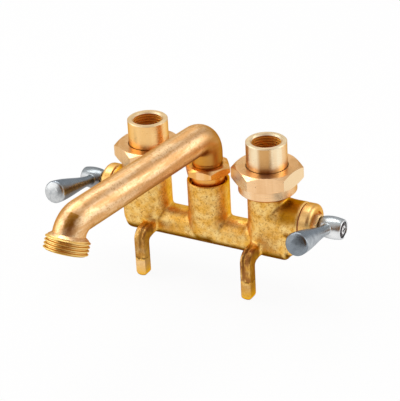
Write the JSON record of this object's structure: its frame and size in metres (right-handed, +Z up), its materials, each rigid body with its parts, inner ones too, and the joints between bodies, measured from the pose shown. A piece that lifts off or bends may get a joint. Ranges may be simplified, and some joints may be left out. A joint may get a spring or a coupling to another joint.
{
  "type": "utility sink faucet",
  "caption": "Cast-brass bridge faucet with union inlets from above, lever-handled compression valves at its ends, a swinging spout with a hose thread and straddle legs.",
  "frame": {"origin": "middle of the flat ground on the bar's underside, where the faucet sits on the sink's ledge", "axes": "+X along the bar to the right as seen from the front, -Y to the front, where the levers point, +Z up along the inlets"},
  "size_m": [0.1908, 0.1758, 0.1086],
  "materials": {
    "cast_brass": "rough sand-cast",
    "spout_brass": "satin, tumbled",
    "machined_brass": "bright machined",
    "gland_brass": "bright machined",
    "dull_chrome": "satin",
    "steel": "bright",
    "rubber": "matt",
    "fibre": "matt"
  },
  "bodies": {
    "faucet": {"body": "cast_brass", "spout_gland_nut": "gland_brass", "left_tailpiece": "machined_brass", "right_tailpiece": "machined_brass", "left_union_nut": "machined_brass", "right_union_nut": "machined_brass", "left_union_washer": "fibre", "right_union_washer": "fibre", "left_valve_seat": "machined_brass", "right_valve_seat": "machined_brass", "left_bonnet": "machined_brass", "right_bonnet": "machined_brass", "left_bonnet_gasket": "fibre", "right_bonnet_gasket": "fibre", "left_packing_ring": "rubber", "right_packing_ring": "rubber", "left_packing_nut": "machined_brass", "right_packing_nut": "machined_brass"},
    "spout_set": {"spout": "spout_brass", "spout_o_rings": "rubber", "spout_retaining_ring": "steel"},
    "left_washer_carriage": {"left_seat_washer": "rubber"},
    "left_handle_set": {"left_stem": "machined_brass", "left_washer_screw": "machined_brass", "left_handle": "dull_chrome", "left_handle_screw": "steel"},
    "right_washer_carriage": {"right_seat_washer": "rubber"},
    "right_handle_set": {"right_stem": "machined_brass", "right_washer_screw": "machined_brass", "right_handle": "dull_chrome", "right_handle_screw": "steel"}
  },
  "joints": [
    {"name": "spout_swivel", "type": "hinge", "parent": "faucet", "child": "spout_set", "pos_m": [0, 0, 0.046], "axis": [0, 0, 1], "range_deg": [-47, 62]},
    {"name": "left_stem_travel", "type": "slide", "parent": "faucet", "child": "left_washer_carriage", "axis": [-1, 0, 0], "range_m": [0, 0.003]},
    {"name": "left_handle_turn", "type": "hinge", "parent": "left_washer_carriage", "child": "left_handle_set", "pos_m": [-0.0865, 0, 0.0286], "axis": [-1, 0, 0], "range_deg": [0, 180]},
    {"name": "right_stem_travel", "type": "slide", "parent": "faucet", "child": "right_washer_carriage", "axis": [1, 0, 0], "range_m": [0, 0.003]},
    {"name": "right_handle_turn", "type": "hinge", "parent": "right_washer_carriage", "child": "right_handle_set", "pos_m": [0.0865, 0, 0.0286], "axis": [-1, 0, 0], "range_deg": [0, 180]}
  ],
  "couplings": [
    {"joint": "left_stem_travel", "follows": "left_handle_turn", "m_per_rad": 0.00095493},
    {"joint": "right_stem_travel", "follows": "right_handle_turn", "m_per_rad": 0.00095493}
  ]
}
